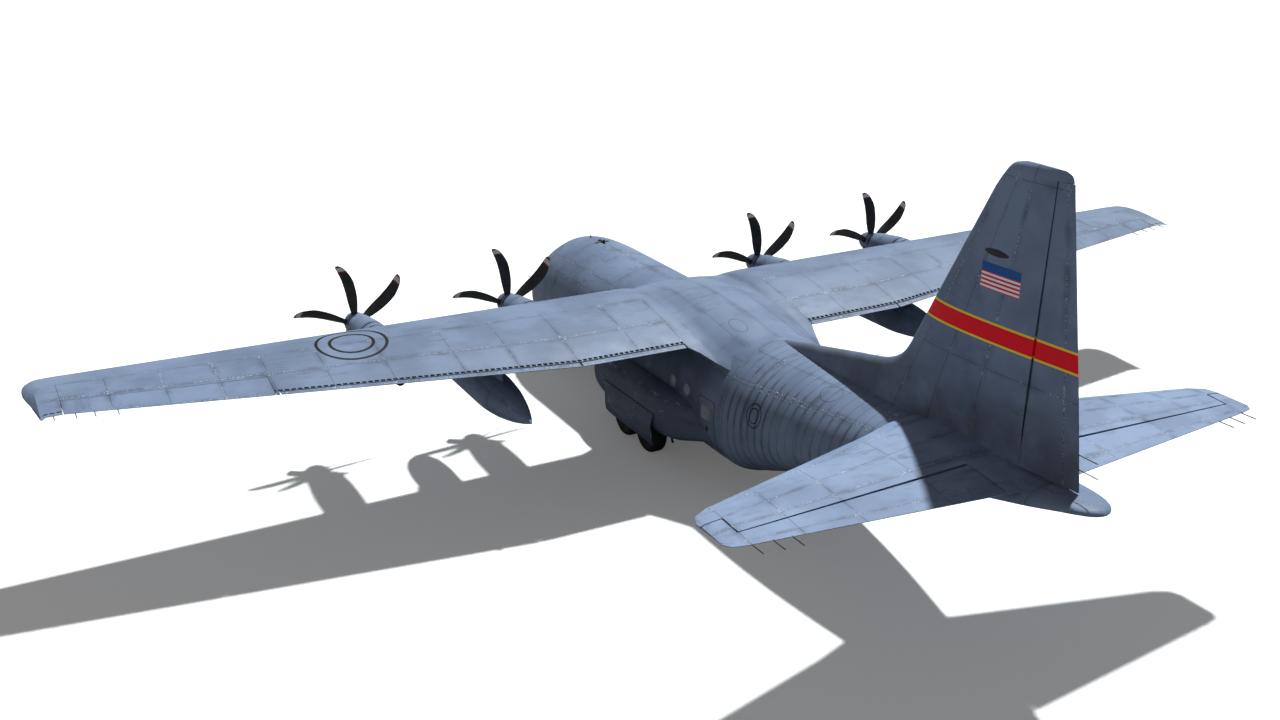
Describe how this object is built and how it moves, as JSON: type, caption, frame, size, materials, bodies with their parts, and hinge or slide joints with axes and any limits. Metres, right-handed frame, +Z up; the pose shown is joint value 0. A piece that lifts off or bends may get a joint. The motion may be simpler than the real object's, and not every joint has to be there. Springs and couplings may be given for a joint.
{
  "type": "half-size model of a military transport plane",
  "caption": "Half-size model of a high-wing turboprop transport aircraft on its gear, with turning propellers and wheels, control surfaces, doors and a cargo ramp.",
  "frame": {"origin": "on the ground, midway along the aircraft's length, on its centre plane", "axes": "+X to port along the span, +Y aft along the fuselage, +Z up"},
  "size_m": [20.205, 14.895, 5.92],
  "materials": {
    "paint": "weathered satin blue-grey",
    "radome_paint": "matt blue-grey",
    "propeller_black": "satin black",
    "tyre": "matt",
    "gear_metal": "satin",
    "glass": "polished",
    "interior": "matt grey-green",
    "seat": "woven dark green"
  },
  "bodies": {
    "root": {"radome": "radome_paint", "fuselage_nose": "paint", "fuselage_centre": "paint", "fuselage_aft": "paint", "tail_cone": "paint", "wing": "paint", "tailplane": "paint", "fin": "paint", "paratroop_door_port": "paint", "paratroop_door_starboard": "paint", "cargo_floor": "interior", "flight_deck_floor": "interior", "instrument_panel": "interior", "pilot_seat_port": "seat", "pilot_seat_starboard": "seat", "flight_deck_glass": "glass", "gear_sponson_port": "paint", "gear_sponson_starboard": "paint", "main_gear_door_port": "paint", "main_gear_door_starboard": "paint", "main_leg_front_port": "gear_metal", "main_leg_front_starboard": "gear_metal", "main_leg_rear_port": "gear_metal", "main_leg_rear_starboard": "gear_metal", "nose_strut": "gear_metal", "nose_gear_door_port": "paint", "nose_gear_door_starboard": "paint", "nacelle_1": "paint", "nacelle_2": "paint", "nacelle_3": "paint", "nacelle_4": "paint", "external_tank_port": "paint", "external_tank_starboard": "paint", "tank_pylon_port": "paint", "tank_pylon_starboard": "paint"},
    "flaps_port": {"flap_inner_port": "paint", "flap_outer_port": "paint"},
    "flaps_starboard": {"flap_inner_starboard": "paint", "flap_outer_starboard": "paint"},
    "aileron_port": {"aileron_port": "paint"},
    "aileron_starboard": {"aileron_starboard": "paint"},
    "elevator_port": {"elevator_port": "paint"},
    "elevator_starboard": {"elevator_starboard": "paint"},
    "rudder": {"rudder": "paint"},
    "cargo_ramp": {"cargo_ramp": "paint"},
    "cargo_door": {"cargo_door": "paint"},
    "crew_door": {"crew_door": "paint"},
    "main_wheel_front_port": {"main_wheel_front_port": "tyre"},
    "main_wheel_front_starboard": {"main_wheel_front_starboard": "tyre"},
    "main_wheel_rear_port": {"main_wheel_rear_port": "tyre"},
    "main_wheel_rear_starboard": {"main_wheel_rear_starboard": "tyre"},
    "nose_steering": {"nose_leg": "gear_metal"},
    "nose_wheels": {"nose_wheels": "tyre"},
    "propeller_1": {"propeller_1": "propeller_black"},
    "propeller_2": {"propeller_2": "propeller_black"},
    "propeller_3": {"propeller_3": "propeller_black"},
    "propeller_4": {"propeller_4": "propeller_black"}
  },
  "joints": [
    {"name": "flaps_port_extend", "type": "hinge", "parent": "root", "child": "flaps_port", "pos_m": [4, -0.68353, 1.5], "axis": [-0.9967, 0.0807, 0], "range_deg": [0, 36]},
    {"name": "flaps_starboard_extend", "type": "hinge", "parent": "root", "child": "flaps_starboard", "pos_m": [-4, -0.68353, 1.5], "axis": [-0.9967, -0.0807, 0], "range_deg": [0, 36]},
    {"name": "aileron_port_deflect", "type": "hinge", "parent": "root", "child": "aileron_port", "pos_m": [7.11, -0.77931, 2.36539], "axis": [0.9934, -0.1103, 0.0299], "range_deg": [-15, 25]},
    {"name": "aileron_starboard_deflect", "type": "hinge", "parent": "root", "child": "aileron_starboard", "pos_m": [-7.11, -0.77931, 2.36539], "axis": [0.9934, 0.1103, -0.0299], "range_deg": [-15, 25]},
    {"name": "elevator_port_deflect", "type": "hinge", "parent": "root", "child": "elevator_port", "pos_m": [0.55, 5.8525, 2.3225], "axis": [0.9998, 0.0187, 0], "range_deg": [-15, 40]},
    {"name": "elevator_starboard_deflect", "type": "hinge", "parent": "root", "child": "elevator_starboard", "pos_m": [-0.55, 5.8525, 2.3225], "axis": [0.9998, -0.0187, 0], "range_deg": [-15, 40]},
    {"name": "rudder_deflect", "type": "hinge", "parent": "root", "child": "rudder", "pos_m": [0, 6.2025, 2.45], "axis": [0, 0.021, 0.9998], "range_deg": [-35, 35]},
    {"name": "cargo_ramp_lower", "type": "hinge", "parent": "root", "child": "cargo_ramp", "pos_m": [0, 1.2125, 0.3735], "axis": [-1, 0, 0], "range_deg": [0, 28]},
    {"name": "cargo_door_raise", "type": "hinge", "parent": "root", "child": "cargo_door", "pos_m": [0, 4.5025, 1.52], "axis": [-1, 0, 0], "range_deg": [0, 32]},
    {"name": "crew_door_open", "type": "hinge", "parent": "root", "child": "crew_door", "pos_m": [0.75011, -5.2825, 0.52], "axis": [0, 1, 0], "range_deg": [0, 95]},
    {"name": "main_wheel_front_port_roll", "type": "hinge", "parent": "root", "child": "main_wheel_front_port", "pos_m": [1.085, -1.6975, 0.35196], "axis": [1, 0, 0], "continuous": true},
    {"name": "main_wheel_front_starboard_roll", "type": "hinge", "parent": "root", "child": "main_wheel_front_starboard", "pos_m": [-1.085, -1.6975, 0.35196], "axis": [1, 0, 0], "continuous": true},
    {"name": "main_wheel_rear_port_roll", "type": "hinge", "parent": "root", "child": "main_wheel_rear_port", "pos_m": [1.085, -0.9275, 0.35196], "axis": [1, 0, 0], "continuous": true},
    {"name": "main_wheel_rear_starboard_roll", "type": "hinge", "parent": "root", "child": "main_wheel_rear_starboard", "pos_m": [-1.085, -0.9275, 0.35196], "axis": [1, 0, 0], "continuous": true},
    {"name": "nose_steer", "type": "hinge", "parent": "root", "child": "nose_steering", "pos_m": [0, -6.1975, 0.24538], "axis": [0, 0, 1], "range_deg": [-60, 60]},
    {"name": "nose_wheels_roll", "type": "hinge", "parent": "nose_steering", "child": "nose_wheels", "pos_m": [0, -6.1975, 0.24538], "axis": [1, 0, 0], "continuous": true},
    {"name": "propeller_1_spin", "type": "hinge", "parent": "root", "child": "propeller_1", "pos_m": [5.08, -3.4125, 2.06], "axis": [0, 1, 0], "continuous": true},
    {"name": "propeller_2_spin", "type": "hinge", "parent": "root", "child": "propeller_2", "pos_m": [2.475, -3.3675, 2], "axis": [0, 1, 0], "continuous": true},
    {"name": "propeller_3_spin", "type": "hinge", "parent": "root", "child": "propeller_3", "pos_m": [-2.475, -3.3675, 2], "axis": [0, 1, 0], "continuous": true},
    {"name": "propeller_4_spin", "type": "hinge", "parent": "root", "child": "propeller_4", "pos_m": [-5.08, -3.4125, 2.06], "axis": [0, 1, 0], "continuous": true}
  ]
}
